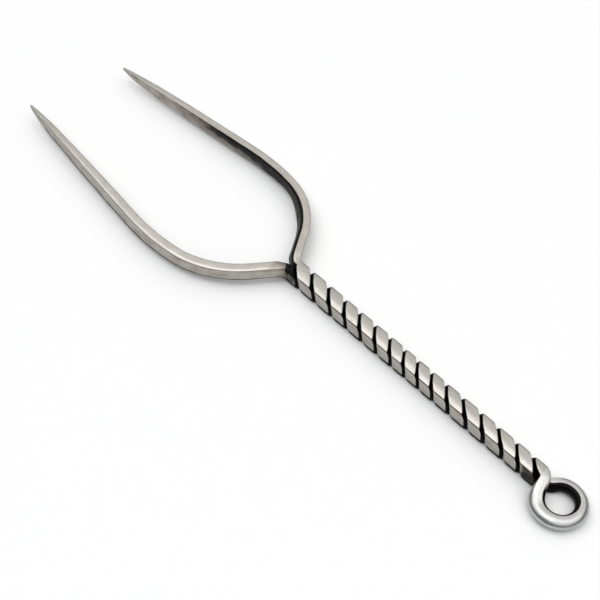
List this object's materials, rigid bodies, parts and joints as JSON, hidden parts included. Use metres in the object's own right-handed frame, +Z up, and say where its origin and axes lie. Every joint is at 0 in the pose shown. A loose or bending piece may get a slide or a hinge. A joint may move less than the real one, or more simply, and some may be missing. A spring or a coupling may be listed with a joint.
{
  "type": "divot repair tool",
  "caption": "Forged two-prong divot repair tool: tapered pointed prongs, twisted square handle and a small eye for hanging.",
  "frame": {"origin": "middle of the underside of the bounding box, on the axis of the handle", "axes": "+X from the prong points to the eye, +Y to the right prong, +Z up from the table the tool lies on"},
  "size_m": [0.1168, 0.0266, 0.0031],
  "materials": {
    "prong_steel": "satin, hand dressed",
    "handle_steel": "satin flats, blackened grooves",
    "eye_steel": "polished, rounded edges"
  },
  "bodies": {
    "root": {"left_prong": "prong_steel", "right_prong": "prong_steel", "left_strand": "handle_steel", "right_strand": "handle_steel", "eye_loop": "eye_steel"}
  },
  "joints": []
}
